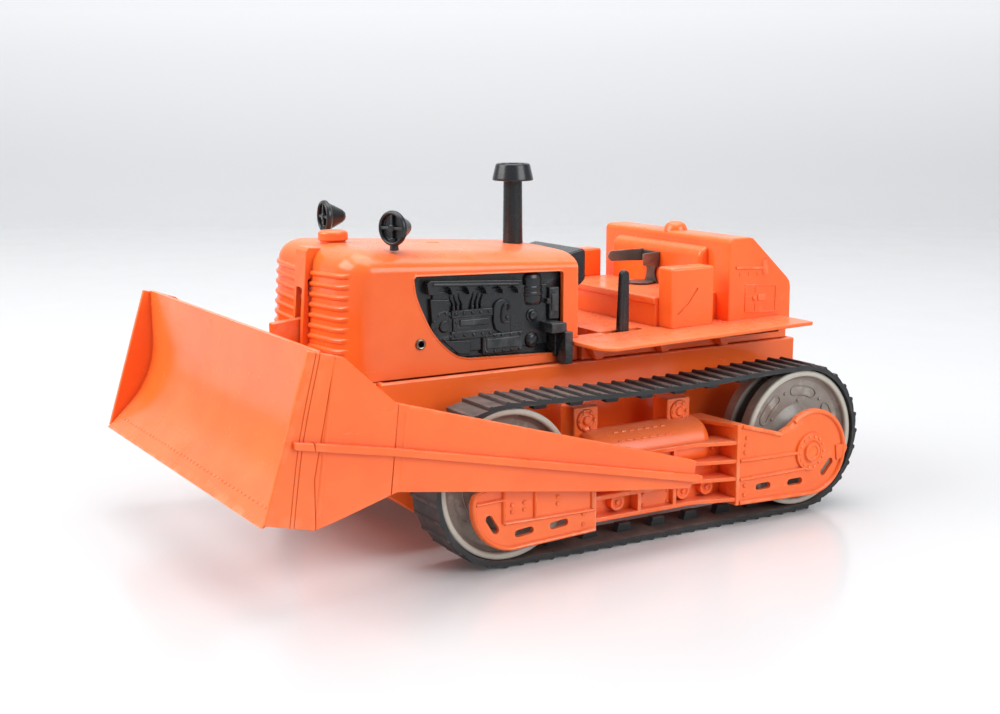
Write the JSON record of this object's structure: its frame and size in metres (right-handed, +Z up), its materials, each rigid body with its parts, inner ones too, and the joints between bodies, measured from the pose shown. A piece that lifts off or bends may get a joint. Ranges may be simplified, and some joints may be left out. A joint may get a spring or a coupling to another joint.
{
  "type": "toy bulldozer",
  "caption": "Toy crawler tractor in orange plastic with a lifting dozer blade, hand lever, rubber tracks on free wheels, engine panels, lamps and exhaust stack.",
  "frame": {"origin": "on the ground under the middle of the overall box, blade included", "axes": "+X to the machine's own left side, +Y to its rear (the blade faces -Y), +Z up"},
  "size_m": [0.2008, 0.3146, 0.1652],
  "materials": {
    "orange_plastic": "moulded orange acetate, satin gloss with light scuffs and dust",
    "black_plastic": "moulded black plastic, satin",
    "black_rubber": "soft black rubber, cleat tops scuffed dusty brown",
    "grey_plastic": "moulded warm grey plastic, rim polished paler",
    "clip_sheet": "thin blackened steel sheet, worn brown",
    "bright_steel": "plain bright steel wire and rivets, slightly tarnished"
  },
  "bodies": {
    "chassis": {"hull": "orange_plastic", "hood": "orange_plastic", "rear_body": "orange_plastic", "dash_box": "black_plastic", "radiator_cap": "orange_plastic", "exhaust_stack": "black_plastic", "driver_clip": "clip_sheet", "engine_insert_left": "black_plastic", "hood_eyelet_left": "bright_steel", "side_frame_left": "orange_plastic", "track_left": "black_rubber", "arm_pin_left": "bright_steel", "engine_insert_right": "black_plastic", "hood_eyelet_right": "bright_steel", "side_frame_right": "orange_plastic", "track_right": "black_rubber", "arm_pin_right": "bright_steel", "axle_front": "bright_steel", "axle_rear": "bright_steel", "axle_cap_front_left": "bright_steel", "axle_cap_front_right": "bright_steel", "axle_cap_rear_left": "bright_steel", "axle_cap_rear_right": "bright_steel"},
    "blade_frame": {"blade": "orange_plastic", "push_arm_left": "orange_plastic", "push_arm_right": "orange_plastic"},
    "lift_gear": {"hand_lever": "black_plastic", "lift_shaft": "bright_steel", "lift_arm": "orange_plastic"},
    "wheel_front_left": {"wheel_front_left_outer": "grey_plastic", "wheel_front_left_inner": "grey_plastic"},
    "wheel_front_right": {"wheel_front_right_outer": "grey_plastic", "wheel_front_right_inner": "grey_plastic"},
    "wheel_rear_left": {"wheel_rear_left_outer": "grey_plastic", "wheel_rear_left_inner": "grey_plastic"},
    "wheel_rear_right": {"wheel_rear_right_outer": "grey_plastic", "wheel_rear_right_inner": "grey_plastic"},
    "lamp_left": {"headlight_left": "black_plastic"},
    "lamp_right": {"headlight_right": "black_plastic"}
  },
  "joints": [
    {"name": "blade_lift", "type": "hinge", "parent": "chassis", "child": "blade_frame", "pos_m": [0, 0.0426, 0.0306], "axis": [-1, 0, 0], "range_deg": [-11, 5]},
    {"name": "lever_swing", "type": "hinge", "parent": "chassis", "child": "lift_gear", "pos_m": [0, 0.0453, 0.062], "axis": [-1, 0, 0], "range_deg": [-11, 5]},
    {"name": "front_left_wheel_spin", "type": "hinge", "parent": "chassis", "child": "wheel_front_left", "pos_m": [0, -0.04245, 0.03605], "axis": [1, 0, 0], "continuous": true},
    {"name": "front_right_wheel_spin", "type": "hinge", "parent": "chassis", "child": "wheel_front_right", "pos_m": [0, -0.04245, 0.03605], "axis": [1, 0, 0], "continuous": true},
    {"name": "rear_left_wheel_spin", "type": "hinge", "parent": "chassis", "child": "wheel_rear_left", "pos_m": [0, 0.12005, 0.03605], "axis": [1, 0, 0], "continuous": true},
    {"name": "rear_right_wheel_spin", "type": "hinge", "parent": "chassis", "child": "wheel_rear_right", "pos_m": [0, 0.12005, 0.03605], "axis": [1, 0, 0], "continuous": true},
    {"name": "left_lamp_swivel", "type": "hinge", "parent": "chassis", "child": "lamp_left", "pos_m": [0.0349, -0.0707, 0.141], "axis": [0, 0, 1], "range_deg": [-90, 90]},
    {"name": "right_lamp_swivel", "type": "hinge", "parent": "chassis", "child": "lamp_right", "pos_m": [-0.0349, -0.0707, 0.141], "axis": [0, 0, 1], "range_deg": [-90, 90]}
  ],
  "couplings": [
    {"joint": "lever_swing", "follows": "blade_lift", "ratio": 1},
    {"joint": "rear_left_wheel_spin", "follows": "front_left_wheel_spin", "ratio": 1},
    {"joint": "rear_right_wheel_spin", "follows": "front_right_wheel_spin", "ratio": 1}
  ]
}
